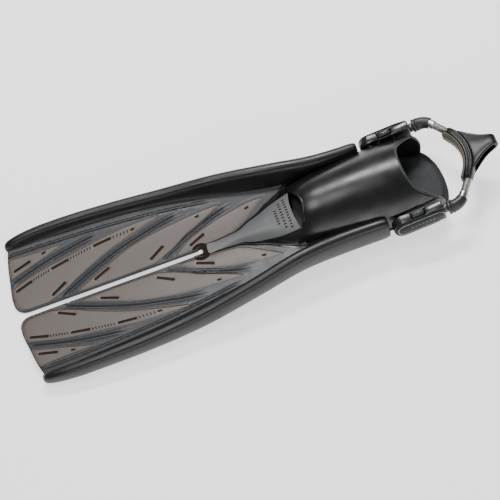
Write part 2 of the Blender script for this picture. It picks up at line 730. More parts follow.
def makeBladeHalf(name, side, data):
    verts, faces = data["verts"], data["faces"]
    anyPanel = np.any(list(data["inPanel"].values()), axis=0)
    pieces = []

    chosen = faces[data["inFrame"] & ~anyPanel]
    top = frameHeight(verts, data)
    v, f = closedSheet(verts, top, np.full(len(verts), -blade["frameThick"]), chosen)
    marks = np.zeros(len(f), int)
    marks[:len(chosen)] = inGroove(verts[chosen].mean(1), data)
    piece = newPiece(name + "_frame_moulding", place(ontoHalf(v, side)), f,
                     [looks["frameGrey"], looks["grooveDark"]], marks, sharp=78)
    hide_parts(name + "_blade_frame", name + "_blade_root")
    pieces.append(piece)

    for number, loop in data["panels"].items():
        mask = data["inPanel"][number]
        chosen = faces[mask]
        top = panelHeight(verts, data, number)
        low = np.full(len(verts), -blade["panelSink"] - blade["panelThick"])
        v, f = closedSheet(verts, top, low, chosen)
        marks = np.zeros(len(f), int)
        marks[:len(chosen)] = data["inBar"][mask]
        piece = newPiece(name + "_panel_skin_" + str(number), place(ontoHalf(v, side)), f,
                         [looks["panelSmoke"], looks["insetBrown"]], marks, sharp=38)
        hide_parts(name + "_panel_" + str(number))
        pieces.append(piece)
        seam = np.column_stack([loop, np.full(len(loop), -0.25)])
        pieces.append(grown(name + "_panel_seam_" + str(number), wireTree, [(seam, True)],
                            {"Wire Radius": blade["outlineRadius"], "Steps": 2 * len(loop), "Sides": 6},
                            "panelOutline", lambda v: place(ontoHalf(v, side))))

    for piece in pieces:
        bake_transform(piece)


bladeData = makeBladeData()
for sideName, sideSign in sides.items():
    makeBladeHalf(sideName, sideSign, bladeData)
print("blade halves made", len(bladeData["faces"]), "faces each")


# Side rails.

rails = {
    "stationStep": 5,
    # Place, distance out, height, width and depth of the section, and reach of its inner foot.
    "sections": [
        (-2, 103, 6.8, 4, 5, 0.3),
        (-1.3, 103.1, 7, 7.5, 9, 0.5),
        (0.6, 103.4, 7.4, 10.4, 13.4, 0.8),
        (4, 103.9, 7.9, 12.6, 17, 1),
        (12, 104.8, 8.4, 14.4, 20.5, 1.4),
        (24, 106, 8.8, 15.5, 23, 2),
        (42, 107, 9.2, 16.3, 24.6, 2.8),
        (76, 106.8, 9.3, 17, 26, 4.5),
        (145, 103.4, 7.2, 18.3, 28, 5.5),
        (216, 96, 6.2, 19.6, 31, 6),
        (291, 84.8, 11.6, 20.3, 32.5, 6.5),
        (365, 70, 13.2, 21.4, 35, 6),
        (422, 62.8, 6.2, 21.6, 38.4, 2),
        (460, 61.8, 4, 20.6, 38, 0.6),
        (477.5, 62, 3.6, 19.6, 36.5, 0.4),
        (481.4, 62, 3.6, 18, 34.5, 0.3),
        (482.9, 62, 3.6, 14.5, 30, 0.2),
    ],
    "roundness": 2.3,
    "archSteps": 30,
    "footSteps": 10,
}


def railRing(x, y, z, width, depth, reach):
    # A round tube whose inner side runs out in a hollow curve onto the blade.
    ring = []
    power = 2 / rails["roundness"]
    for k in range(rails["archSteps"] + 1):
        angle = math.radians(-90 + 238 * k / rails["archSteps"])
        c, d = math.cos(angle), math.sin(angle)
        ring.append((y + width / 2 * math.copysign(abs(c) ** power, c),
                     z + depth / 2 * math.copysign(abs(d) ** power, d)))
    toe = y - width / 2 - reach
    foot = toe * math.tan(math.radians(blade["dihedral"])) + 0.15
    foot += (z - depth * 0.3 - foot) * smoothStep(x, 392, 440)
    foot = min(foot, ring[-1][1] - 0.5)
    first = np.array(ring[-1])
    heading = np.array(ring[-1]) - np.array(ring[-2])
    drop = 0.85 * (first[1] - foot) / max(-heading[1], 0.05)
    bend = first + heading * drop
    bend[0] = max(bend[0], toe + 0.2)
    last = np.array([toe, foot])
    for k in range(1, rails["footSteps"] + 1):
        t = k / rails["footSteps"]
        ring.append(tuple((1 - t) ** 2 * first + 2 * t * (1 - t) * bend + t * t * last))
    low = min(foot - 0.6, z - depth * 0.3)
    ring += [(toe + 0.3, low), (y - width * 0.28, min(low - 0.2, z - depth * 0.41))]
    return ring


def makeRail(name, side):
    stations = hermite(rails["sections"], rails["stationStep"])
    verts = []
    for x, y, z, width, depth, reach in stations:
        ring = railRing(x, y, z, width, depth, reach)
        verts += [(x, side * a, b) for a, b in ring]
    around = len(ring)
    faces = grid(len(stations), around, closedColumns=True)
    faces.append(tuple(range(around)))
    faces.append(tuple(reversed(range((len(stations) - 1) * around, len(stations) * around))))
    piece = newPiece(name + "_rail", place(verts), faces, [looks["railRubber"]], sharp=60)
    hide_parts(name + "_rail_front", name + "_rail_rear")
    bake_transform(piece)


for sideName, sideSign in sides.items():
    makeRail(sideName, sideSign)
print("rails made")


# Centre plate.

plate = {
    # Each row's place along the plate, half length and number of ticks.
    "tickRows": [(351, 10, 6), (358.5, 18, 9), (366, 21, 11)],
    "tickSize": (3.2, 1.7, 0.8),
    "tickLean": -0.19,
    "wall": 3,
    "lipRadius": 113.5,
    "lipPlace": 372,
    "topColumns": 35,
    "skirtColumns": 6,
    "rows": 90,
    "edge": [(244.5, 4.4), (247, 6), (266, 7.5), (284, 9), (298, 11), (313, 18), (328, 24), (348, 36),
             (368, 44.5), (386, 51.5)],
    # Place, edge height, crown height and width of the dark skirt beside the grey top.
    "profile": [(244.5, 0.3, 0.5, 0.4), (266, 1.2, 3, 0.6), (284, 1.8, 5.6, 0.9), (298, 2.3, 8, 1.4),
                (313, 2.9, 11, 2.4), (328, 3.6, 14, 4.4), (348, 5, 17.5, 11), (372, 8.5, 22.5, 18),
                (386, 11, 25, 23)],
}


def plateRear(y):
    # The rear edge follows the round front of the toe opening.
    return plate["lipPlace"] + plate["lipRadius"] - math.sqrt(plate["lipRadius"] ** 2 - y * y)


def makeCentrePlate():
    edge = hermite(plate["edge"], 1.5)
    profile = hermite(plate["profile"], 1.5)
    half = lambda x: np.interp(x, edge[:, 0], edge[:, 1])
    low = lambda x: np.interp(x, profile[:, 0], profile[:, 1])
    crown = lambda x: np.interp(x, profile[:, 0], profile[:, 2])
    skirt = lambda x: np.interp(x, profile[:, 0], profile[:, 3])
    side = plate["skirtColumns"]
    across = np.concatenate([np.full(side, -1), np.linspace(-1, 1, plate["topColumns"]), np.full(side, 1)])
    columns = len(across)
    rows = plate["rows"]
    verts = []
    for i in range(rows):
        t = i / (rows - 1)
        for j, share in enumerate(across):
            x = 244.5 + 127.5 * t
            for step in range(6):
                x = 244.5 + (plateRear((half(x) - skirt(x)) * abs(share)) - 244.5) * t
            ridge = low(x) + 0.55 * skirt(x) + 0.3
            k = min(j, columns - 1 - j)
            if k >= side:
                y = (half(x) - skirt(x)) * share
                z = ridge + (crown(x) - ridge) * (1 - abs(share) ** 2.2)
            else:
                out = (side - k) / side
                y = share * (half(x) - skirt(x) * (1 - out) * 0.97)
                z = low(x) - 1 + (ridge + 0.2 - low(x)) * (1 - out) ** 1.7
            verts.append((x, y, z))
    verts = np.array(verts)
    count = len(verts)
    under = verts.copy()
    thin = np.where(under[:, 2] > 4, plate["wall"], 1.2)
    under[:, 2] = np.maximum(under[:, 2] - thin, -3)
    faces = grid(rows, columns)
    marks = [0 if side <= j < columns - side - 1 else 1 for i in range(rows - 1) for j in range(columns - 1)]
    faces += [tuple(reversed([k + count for k in face])) for face in faces]
    marks += [1] * len(marks)
    rim = [i * columns for i in range(rows)] + [(rows - 1) * columns + j for j in range(1, columns)]
    rim += [i * columns + columns - 1 for i in range(rows - 2, -1, -1)] + list(range(columns - 2, 0, -1))
    for a, b in zip(rim, rim[1:] + rim[:1]):
        faces.append((a, b, b + count, a + count))
        marks.append(1)
    piece = newPiece("centre_plate_hood", place(np.concatenate([verts, under])), faces,
                     [looks["plateGrey"], looks["pocketRubber"]], marks, sharp=32)
    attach(piece, "fin")
    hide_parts("centre_plate")

    # The floor under the toes, from side to side.
    floorRows = [(346, 30), (360, 38), (374, 45), (388, 47), (394, 46)]
    floorVerts = []
    for x, width in floorRows:
        for share in np.linspace(-1, 1, 13):
            floorVerts.append((x, width * share, 0.6 + 7 * abs(share) ** 4))
    v = np.array(floorVerts)
    below = v - np.array([0, 0, 2.5])
    f = grid(5, 13)
    f += [tuple(reversed([k + len(v) for k in face])) for face in f]
    floor = newPiece("toe_floor", place(np.concatenate([v, below])), f, [looks["heelRubber"]])
    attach(floor, "fin")
    return piece


def makeSlitDisc():
    # A flat C round the end of the slit, lying on both halves.
    radius, centre, slot = 12.5, 243, 3.3
    first = math.pi - math.asin(slot / radius)
    angles = np.linspace(first, -first, 40)
    loop = [(centre + radius * math.cos(a), radius * math.sin(a)) for a in angles]
    loop += [(centre + slot * math.sin(a), -slot * math.cos(a)) for a in np.linspace(0, math.pi, 12)]
    slope = math.tan(math.radians(blade["dihedral"]))
    top = [(x, y, 0.55 + slope * abs(y)) for x, y in loop]
    low = [(x, y, -0.4 + slope * abs(y)) for x, y in loop]
    count = len(loop)
    centres = [(centre + (x - centre) * 0.93, y * 0.93, 0.75 + slope * abs(y) * 0.93) for x, y in loop]
    faces = [(k, (k + 1) % count, (k + 1) % count + count, k + count) for k in range(count)]
    faces += [(k, k + 2 * count, (k + 1) % count + 2 * count, (k + 1) % count) for k in range(count)]
    faces += [tuple(range(2 * count, 3 * count)), tuple(reversed(range(count, 2 * count)))]
    piece = newPiece("slit_disc", place(top + low + centres), faces, [looks["discBrown"]], sharp=50)
    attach(piece, "fin")
    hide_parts("slit_end_disc")


def makePlateTicks():
    # Three rows of short marks where lettering would be.
    profile = hermite(plate["profile"], 1.5)
    edge = hermite(plate["edge"], 1.5)
    for number, (x, reach, count) in enumerate(plate["tickRows"], 1):
        half = np.interp(x, edge[:, 0], edge[:, 1])
        low, crown, skirt = [np.interp(x, profile[:, 0], profile[:, k]) for k in (1, 2, 3)]
        ridge = low + 0.55 * skirt + 0.3
        line = [(x, y, ridge + (crown - ridge) * (1 - (abs(y) / (half - skirt)) ** 2.2) - 0.14)
                for y in np.linspace(-reach, reach, 33)]
        piece = grown("plate_ticks_" + str(number), rowTree, [(line, False)],
                      {"Count": count, "Size": plate["tickSize"], "Turn": (0, plate["tickLean"], 0.12)},
                      "tickDark", place)
        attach(piece, "fin")


def makeUnderlay():
    # A thin dark web under the joints between the plate, the frames and the pocket.
    widths = [(247, 6), (266, 10), (298, 14), (328, 28), (348, 42), (368, 54), (388, 56)]
    slope = math.tan(math.radians(blade["dihedral"]))
    rows = hermite(widths, 6)
    verts = []
    for x, width in rows:
        for share in np.linspace(-1, 1, 11):
            verts.append((x, width * share, slope * abs(width * share) - blade["frameThick"] - 0.1))
    top = np.array(verts)
    low = top - np.array([0, 0, 0.8])
    count = len(top)
    faces = grid(len(rows), 11)
    faces += [tuple(reversed([k + count for k in face])) for face in faces]
    rim = [i * 11 for i in range(len(rows))] + [(len(rows) - 1) * 11 + j for j in range(1, 11)]
    rim += [i * 11 + 10 for i in range(len(rows) - 2, -1, -1)] + list(range(9, 0, -1))
    faces += [(a, b, b + count, a + count) for a, b in zip(rim, rim[1:] + rim[:1])]
    piece = newPiece("joint_web", place(np.concatenate([top, low])), faces, [looks["pocketRubber"]])
    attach(piece, "fin")


makeCentrePlate()
makeUnderlay()
makeSlitDisc()
makePlateTicks()
print("centre plate made")


# Foot pocket.

pocket = {
    "wall": 3.6,
    "rows": 60,
    "columns": 73,
    "lip": 1.4,
    # Place, half width, shoulder height and crown height of the outside.
    "sections": [(360, 46, 3.2, 20.5), (370, 47.4, 4, 26), (377, 48.5, 4.5, 30.6), (385, 50, 5, 34.8),
                 (392, 50.6, 6, 37.2), (400, 51.2, 7, 38.8), (420, 52.5, 9, 40.5), (460, 54.5, 12, 43),
                 (508, 55, 15, 43.5), (540, 53, 15, 42), (571, 50, 14, 40)],
    # Side view of the instep rim, from the crown down to the sole.
    "rim": [(522, 42.2), (524.5, 37.5), (528.5, 31), (533.5, 27), (541, 22), (550, 16), (559, 7), (563, -3),
            (562, -29)],
}


def soleLine(x):
    return -math.tan(math.radians(8.7)) * (x - 385) - 3.1


def pocketPoint(x, t, inward, sections):
    # t runs from -1 at the left foot of the wall over the crown to 1 at the right foot.
    half, shoulder, crown = [np.interp(x, sections[:, 0], sections[:, k]) for k in (1, 2, 3)]
    half -= inward
    shoulder -= inward * 0.4
    crown -= inward
    base = soleLine(x)
    a = abs(t)
    sign = 1 if t >= 0 else -1
    if a > 0.72:
        share = (a - 0.72) / 0.28
        return (x, sign * (half - 1.5 * share**2), shoulder + (base - shoulder) * share)
    angle = a / 0.72 * math.pi / 2
    across = math.sin(angle) ** 0.96
    up = 1 - across ** 2.05
    return (x, sign * half * across, shoulder + (crown - shoulder) * up)


def pocketFrontWidth(t):
    # How far out the pocket's front edge is at this share of the arch.
    return 49 * math.sin(min(abs(t), 0.72) / 0.72 * math.pi / 2) ** 0.96


def pocketRow(t, inward, sections, rim):
    # One line along the pocket, from its front edge to the rim.
    zs, xs = rim[:, 1][::-1], rim[:, 0][::-1]
    end = 540
    for step in range(12):
        z = pocketPoint(end, t, inward, sections)[2]
        end = 0.5 * end + 0.5 * np.interp(z, zs, xs)
    out = pocketFrontWidth(t)
    front = 388 - 11 * (min(out, 30) / 30) ** 2 - 11 * smoothStep(out, 30, 44)
    rows = pocket["rows"]
    line = []
    for k in range(rows):
        u = k / (rows - 1)
        u = 0.5 * u + 0.5 * (0.5 - 0.5 * math.cos(math.pi * u))
        line.append(pocketPoint(front + (end - front) * u, t, inward, sections))
    return line


def makePocket():
    sections = hermite(pocket["sections"], 4)
    rim = hermite(pocket["rim"], 1.5)
    columns = pocket["columns"]
    rows = pocket["rows"]
    shares = np.linspace(-1, 1, columns)
    outer = np.array([pocketRow(t, 0, sections, rim) for t in shares])
    inner = np.array([pocketRow(t, pocket["wall"], sections, rim) for t in shares])
    count = columns * rows
    verts = np.concatenate([outer.reshape(-1, 3), inner.reshape(-1, 3)])
    faces = grid(columns, rows)
    faces += [tuple(reversed([k + count for k in face])) for face in faces]
    for i in range(columns - 1):
        for j in (0, rows - 1):
            a, b = i * rows + j, (i + 1) * rows + j
            faces.append((a, b, b + count, a + count))
    for i in (0, columns - 1):
        for j in range(rows - 1):
            a, b = i * rows + j, i * rows + j + 1
            faces.append((a, b, b + count, a + count))
    piece = newPiece("foot_pocket_upper", place(verts), faces, [looks["pocketRubber"]], sharp=50)
    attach(piece, "fin")
    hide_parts("foot_pocket")
    # A rounded lip along the instep rim and a thicker one round the toe opening.
    middle = (outer + inner) / 2
    rimPath = middle[:, -1]
    v, f = tube(rimPath, pocket["wall"] * 0.56, 12)
    lip = newPiece("instep_rim", place(v), f, [looks["rimRubber"]], sharp=70)
    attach(lip, "fin")
    chosen = [k for k, t in enumerate(shares) if pocketFrontWidth(t) < 33]
    toe = middle[chosen, 0] + np.array([0.4, 0, 0.1])
    thick = [2.4 - 1.4 * smoothStep(abs(p[1]), 18, 32) for p in toe]
    v, f = tube(toe, thick, 12)
    toeLip = newPiece("toe_opening_lip", place(v), f, [looks["pocketRubber"]], sharp=70)
    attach(toeLip, "fin")
    return piece


sole = {
    "tilt": 8.7,
    "start": 385,
    "middle": 100,
    "footbedHalves": [(1.5, 45.3), (45, 48), (90, 50), (130, 50), (160, 46), (178, 38), (189, 22), (193, 0)],
    "outsoleHalves": [(1.5, 50), (45, 53.5), (90, 55), (130, 55), (165, 52.5), (182, 48.5), (194, 28), (198, 0)],
    "treads": 11,
    "treadStep": 15,
}


def solePoints(points):
    # The sole's own plane, which falls towards the heel, to the blade frame.
    p = np.asarray(points, float)
    tilt = math.radians(sole["tilt"])
    x = p[:, 0] * math.cos(tilt) + p[:, 2] * math.sin(tilt) + sole["start"]
    z = -p[:, 0] * math.sin(tilt) + p[:, 2] * math.cos(tilt)
    return np.stack([x, p[:, 1], z], 1)


def soleLoop(halves):
    right = hermite([(u, y) for u, y in halves], 3)
    left = right[::-1][1:] * np.array([1, -1])
    return np.vstack([right, left])


def ringedSheet(loop, rings):
    # A closed slab from loops of one outline, each with its own scale about the middle and height.
    middle = np.array([sole["middle"], 0])
    verts = []
    for scale, height in rings:
        ring = middle + (loop - middle) * scale
        verts += [(u, y, height) for u, y in ring]
    count = len(loop)
    faces = grid(len(rings), count, closedColumns=True)
    faces.append(tuple(range(count)))
    faces.append(tuple(reversed(range((len(rings) - 1) * count, len(rings) * count))))
    return np.array(verts), faces


def makeSole():
    loop = soleLoop(sole["footbedHalves"])
    dish = [(0.1, -1), (0.5, -0.9), (0.85, -0.5), (0.95, -0.05), (0.975, 0.05), (0.993, -0.15), (1, -0.8),
            (1, -2.9), (0.5, -3), (0.1, -3)]
    verts, faces = ringedSheet(loop, dish)
    bed = newPiece("heel_plate", place(solePoints(verts)), faces, [looks["heelRubber"]], sharp=50)
    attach(bed, "fin")
    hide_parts("footbed")
    loop = soleLoop(sole["outsoleHalves"])
    slab = [(0.1, -3), (0.9, -3), (0.99, -3.1), (1, -3.7), (1, -5.6), (0.99, -6.2), (0.5, -6.2), (0.1, -6.2)]
    parts = [ringedSheet(loop, slab)]
    halves = np.array(sole["outsoleHalves"])
    edges = [3] + [22 + sole["treadStep"] * k for k in range(sole["treads"])]
    for k, u in enumerate(edges):
        first = u + (3 if k else 0)
        last = (edges[k + 1] if k + 1 < len(edges) else 193)
        ends = [(first, np.interp(first, halves[:, 0], halves[:, 1]) - 1.5),
                (last, np.interp(last, halves[:, 0], halves[:, 1]) - 1.5)]
        (u1, h1), (u2, h2) = ends
        corners = [(u1, -h1), (u2, -h2), (u2, h2), (u1, h1)]
        v = np.array([(a, b, -6) for a, b in corners] + [(a, b, -8) for a, b in corners], float)
        f = [(0, 1, 2, 3), (7, 6, 5, 4), (0, 4, 5, 1), (1, 5, 6, 2), (2, 6, 7, 3), (3, 7, 4, 0)]
        parts.append((v, f))
    verts, faces = joined(parts)
    grip = newPiece("grip_sole", place(solePoints(verts)), faces, [looks["soleRubber"]], sharp=50)
    rounded(grip, 0.5, 2)
    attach(grip, "fin")
    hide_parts("outsole")


def makeToeShoulders():
    # Black rubber between the plate's corner and the rail, in front of the pocket.
    for name, side in sides.items():
        stations = []
        for k in range(22):
            t = k / 21
            x = 344 + 62 * t
            inner = np.interp(x, [344, 348, 368, 386, 406], [34.5, 36.2, 44.6, 49, 50])
            outer = np.interp(x, [344, 366, 386, 406], [35.4, 48.5, 56, 56])
            rise = 14 * smoothStep(t, 0.25, 1.05)
            slope = math.tan(math.radians(blade["dihedral"]))
            row = []
            for share, height in ((0, 0.85), (0.4, 0.62), (0.75, 0.25), (1, 0.1)):
                out = inner + (outer - inner) * share
                row.append((x, side * out, out * slope + 0.35 + rise * height))
            row += [(x, side * outer, outer * slope - 2.5), (x, side * inner, inner * slope - 2.5)]
            stations.append(row)
        verts = np.array(stations).reshape(-1, 3)
        faces = grid(22, 6, closedColumns=True)
        faces.append(tuple(range(6)))
        faces.append(tuple(reversed(range(21 * 6, 22 * 6))))
        piece = newPiece(name + "_toe_shoulder", place(verts), faces, [looks["pocketRubber"]], sharp=60)
        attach(piece, "fin")


makePocket()
makeSole()
makeToeShoulders()
print("foot pocket made")


# Buckles.

buckle = {
    "coilEnds": (1.6, 6),
    "ribSpan": 10.8,
    "middle": 66,
    "halfWidth": 6.4,
    "radius": 14.75,
    "plateThick": 2.1,
    "coverThick": 1.6,
    "ringWidth": 19.5,
    "ringRadius": 0.42,
    "buttonPlace": 22,
    "buttonLength": 17.2,
    "buttonWidth": 8,
    "buttonFoot": 6,
    "buttonTop": 16.2,
}


def buckleLoop(trim, front, rear, noseSteps=18):
    # Side view: a round nose about the post, then straight edges that narrow at the tail.
    r = buckle["radius"] - trim
    points = []
    if front < 0:
        for k in range(noseSteps + 1):
            angle = math.pi / 2 + math.pi * k / noseSteps
            points.append((r * math.cos(angle), r * math.sin(angle)))
    else:
        points += [(front, r), (front, -r)]
    shrink = lambda x: r - 2.2 * smoothStep(x, 38, 57)
    for x in np.linspace(38, rear, 6) if rear > 40 else [rear]:
        points.append((x, -shrink(x)))
    for x in np.linspace(rear, 38, 6) if rear > 40 else [rear]:
        points.append((x, shrink(x)))
    return np.array(points)


def extruded(loop, y1, y2):
    # A side-view outline in the strap's frame, given thickness across.
    count = len(loop)
    verts = [(x, y1, z) for x, z in loop] + [(x, y2, z) for x, z in loop]
    faces = [tuple(range(count)), tuple(reversed(range(count, 2 * count)))]
    for k in range(count):
        n = (k + 1) % count
        faces.append((k, n, n + count, k + count))
    return np.array(verts, float), faces


def block(x1, x2, y1, y2, z1, z2):
    return extruded(np.array([(x1, z1), (x2, z1), (x2, z2), (x1, z2)]), y1, y2)


def strapPiece(name, parts, look, body="heel_strap", bevel=0.0, side=1, sharp=45, segments=3):
    v, f = joined(parts)
    v = v * np.array([1, side, 1])
    piece = newPiece(name, place(strapPoints(v)), f, [looks[look]], sharp=sharp)
    if bevel:
        rounded(piece, bevel, segments)
    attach(piece, body)
    return piece


def makeButtonCoil(name, side, up, edgeName):
    # A return spring, closed up between the well's floor and the button's foot as the button is pressed.
    ends = np.array([(buckle["buttonPlace"], buckle["middle"], up * w) for w in buckle["coilEnds"]])
    piece = grown(name + "_" + edgeName + "_coil", wireTree, [(ends, False)],
                  {"Coil Radius": 2.3, "Wire Radius": 0.3, "Turns": 4.0, "Steps": 97, "Sides": 7}, "steel",
                  lambda v: place(strapPoints(v * np.array([1, side, 1]))), sharp=80)
    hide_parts(name + "_" + edgeName + "_button_spring")
    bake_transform(piece)


def makeBuckle(name, side):
    def ownSide(v):
        return place(strapPoints(v * np.array([1, side, 1])))

    middle, half = buckle["middle"], buckle["halfWidth"]
    thick = buckle["plateThick"]
    face = middle + half
    core = half - thick
    innerPlate = extruded(buckleLoop(1.2, -1, 55.6), middle - half + 0.3, middle - core)
    outerPlate = extruded(buckleLoop(1.2, -1, 55.6), middle + core, face - 0.3)
    floor = block(10, 40, middle - core - 0.5, middle + core + 0.5, -1.5, 1.5)
    shell = strapPiece(name + "_buckle_shell", [innerPlate, outerPlate, floor], "bucklePlastic", bevel=0.5,
                       side=side)
    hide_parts(name + "_buckle_housing")
    nose = extruded(buckleLoop(0, -1, 12.9), middle - half, middle + half)
    strapPiece(name + "_buckle_nose", [nose], "bucklePlastic", bevel=1.5, side=side,
               segments=4)
    tail = strapPiece(name + "_buckle_tail", [block(31.2, 56.3, middle - half, middle + half, -13.9, 13.9)],
                      "rearBlock", bevel=2.4, side=side, segments=5)

    cover = extruded(buckleLoop(0.7, -1, 55.2), face + 0.02, face + buckle["coverThick"])
    plate = strapPiece(name + "_cover_plate", [cover], "coverPlastic", bevel=0.8, side=side)
    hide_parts(name + "_buckle_cover")
    ring = barLoop((0, 0), (45, 0), buckle["ringWidth"], 16)
    path = [(x, face + buckle["coverThick"], z) for x, z in ring]
    rim = grown(name + "_badge_rim", wireTree, [(path, True)],
                {"Wire Radius": buckle["ringRadius"], "Steps": 120, "Sides": 10}, "badgeRing", ownSide)
    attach(rim, "heel_strap")
    oval = barLoop((0, 0), (45, 0), buckle["ringWidth"] - 1.6, 16)
    badge = strapPiece(name + "_oval_badge", [extruded(oval, face + 1, face + buckle["coverThick"] + 0.15)],
                       "badgePlastic", side=side, bevel=0.25)
    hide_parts(name + "_badge_plate")
    low, high = face + 1.6, face + buckle["coverThick"] + 0.4
    line = [(9.3, (low + high) / 2, 0), (39.3, (low + high) / 2, 0)]
    bars = grown(name + "_badge_bars", rowTree, [(line, False)],
                 {"Count": 7, "Size": (2.6, high - low, 4.4)}, "sleevePlastic", ownSide)
    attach(rounded(bars, 0.2, 2), "heel_strap")

    for up, edgeName in ((1, "top"), (-1, "bottom")):
        makeButtonCoil(name, side, up, edgeName)
        length, width = buckle["buttonLength"] / 2, buckle["buttonWidth"] / 2
        centre = buckle["buttonPlace"]
        low, high = sorted((up * buckle["buttonFoot"], up * buckle["buttonTop"]))
        parts = [block(centre - length, centre + length, middle - width, middle + width, low, high)]
        button = strapPiece(name + "_" + edgeName + "_key", parts, "buttonPlastic", side=side, bevel=0.9,
                            body=name + "_" + edgeName + "_button")
        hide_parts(name + "_" + edgeName + "_button")
        x, height = centre - length + 5.6, up * (buckle["buttonTop"] - 0.3)
        line = [(x, middle, height), (x + buckle["ribSpan"], middle, height)]
        ribs = grown(name + "_" + edgeName + "_ribs", rowTree, [(line, False)],
                     {"Count": 9, "Size": (0.75, 2 * width - 1, 1.5)}, "buttonPlastic", ownSide)
        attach(rounded(ribs, 0.2, 2), name + "_" + edgeName + "_button")

    insert = strapPiece(name + "_latch_tongue", [block(34.5, 56, middle - 4, middle + 4, -7.2, 7.2),
                                                 block(55.5, 61.5, middle - 3.6, middle + 4.6, -5, 5)],
                        "bucklePlastic", side=side, bevel=0.8)
    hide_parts(name + "_latch_insert")
    return tail


for sideName, sideSign in sides.items():
    makeBuckle(sideName, sideSign)
print("buckles made")


# Heel strap: collar, sleeve, ferrule, spring and cord.

strap = {
    "collarMiddle": 67.7,
    "collarStart": 61,
    "bend": 20.5,
    "sleeveTurn": 44,
    "turn": 54,
    "ferrule": 5,
    "padRadius": 61.2,
    "springRadius": 5.25,
    "wire": 0.78,
    "pitch": 1.62,
}
turn = math.radians(strap["turn"])
bendCentre = np.array([69, strap["collarMiddle"] - strap["bend"], 0])


def onBend(angle):
    return bendCentre + strap["bend"] * np.array([math.sin(angle), math.cos(angle), 0])


springDirection = np.array([math.cos(turn), -math.sin(turn), 0])
springStart = onBend(turn) + springDirection * strap["ferrule"]
padEndAngle = math.pi / 2 - turn
padEndY = strap["padRadius"] * math.sin(padEndAngle)
springEnd = springStart + springDirection * (springStart[1] - padEndY) / math.sin(turn)
padCentre = springEnd[0] - strap["padRadius"] * math.cos(padEndAngle)


def makeStrapEnd(name, side):
    y = strap["collarMiddle"]
    xs = [61, 61.2, 62, 64.4, 65, 65.3, 65.6, 66.2, 66.8, 68.6, 69, 69.1]
    radii = [7.5, 8.6, 9, 9, 8.7, 8.1, 8.1, 8.8, 9, 9, 8.7, 7.6]
    collar = strapPiece(name + "_collar_ring", [tube([(x, y, 0) for x in xs], radii, 40)], "sleevePlastic",
                        side=side, sharp=60)
    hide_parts(name + "_strap_collar")
    angles = np.radians(np.linspace(0, strap["sleeveTurn"], 14))
    path = [onBend(a) for a in angles]
    radii = np.interp(angles, [0, angles[-1]], [8.5, 7.5])
    sleeve = tube(path + [path[-1], path[-1] - 0.6 * springDirection], list(radii) + [6.4, 6.3], 40)
    piece = strapPiece(name + "_sleeve_boot", [sleeve], "sleevePlastic", side=side,
                       sharp=55)
    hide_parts(name + "_strap_sleeve")
    angles = np.radians(np.linspace(strap["sleeveTurn"] - 2, strap["turn"], 6))
    path = [onBend(a) for a in angles] + [onBend(turn) + springDirection * d for d in (1.5, 3.6, 4.6, 5)]
    radii = [6] * 6 + [6, 6, 5.8, 5.3]
    ferrule = strapPiece(name + "_ferrule_cup", [tube(path, radii, 36)], "steel", side=side,
                         sharp=60)
    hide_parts(name + "_strap_ferrule")


def makeStrapSpring(name, side):
    # The coil runs from inside the ferrule to inside the pad, and stretches between the two bodies.
    start = springStart - springDirection * 1.5
    end = springEnd + springDirection * 3
    length = np.linalg.norm(end - start)
    turns = length / strap["pitch"]

    def ownSide(v):
        return place(strapPoints(v * np.array([1, side, 1])))

    coil = grown(name + "_strap_coil", wireTree, [([start, end], False)],
                 {"Coil Radius": strap["springRadius"] - strap["wire"], "Wire Radius": strap["wire"],
                  "Turns": turns, "Steps": int(turns * 20), "Sides": 7}, "springSteel", ownSide, sharp=80)
    core = tube([start, start + (end - start) * 0.5, end], 2.5, 18)
    cord = newPiece(name + "_strap_core", ownSide(core[0]), core[1], [looks["cordBlack"]], sharp=80)
    for piece, node, slotName in ((coil, "_strap_spring", "spring_steel"), (cord, "_limit_cord", "limit_cord")):
        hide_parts(name + node)
        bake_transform(piece)


for sideName, sideSign in sides.items():
    makeStrapEnd(sideName, sideSign)
    makeStrapSpring(sideName, sideSign)
print("strap ends and springs made")


# Heel pad and finger loop.

pad = {
    "halfAngle": 41,
    "stations": 41,
    # Radial offset from the pad's middle line and height, round the section from the inner top edge.
    "section": [(-6, 10.2), (-4.2, 11.6), (-1.5, 11), (0.2, 10.2), (1.6, 11.2), (4, 10.6), (5.8, 7.6),
                (6.3, 3), (6.3, -3), (5.8, -7.6), (4, -10.6), (0, -11), (-4.2, -11), (-6, -10)],
    "liningRidges": 4,
}


def ringPoint(radius, angle, up):
    return (padCentre + radius * math.cos(angle), radius * math.sin(angle), up)


def makePad():
    count = pad["stations"]
    verts = []
    for k in range(count):
        share = -1 + 2 * k / (count - 1)
        angle = math.radians(pad["halfAngle"]) * share
        taper = 1 - 0.28 * smoothStep(abs(share), 0.72, 1) - 0.25 * smoothStep(abs(share), 0.94, 1)
        thin = 1 - 0.12 * smoothStep(abs(share), 0.5, 0.9) - 0.3 * smoothStep(abs(share), 0.93, 1)
        for r, up in pad["section"]:
            verts.append(ringPoint(strap["padRadius"] + r * thin, angle, up * taper))
    around = len(pad["section"])
    faces = grid(count, around, closedColumns=True)
    faces.append(tuple(range(around)))
    faces.append(tuple(reversed(range((count - 1) * around, count * around))))
    piece = newPiece("heel_pad_body", place(strapPoints(verts)), faces, [looks["padRubber"]], sharp=70)
    smoothed(piece, 2, 60)
    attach(piece, "heel_pad")
    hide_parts("heel_pad")


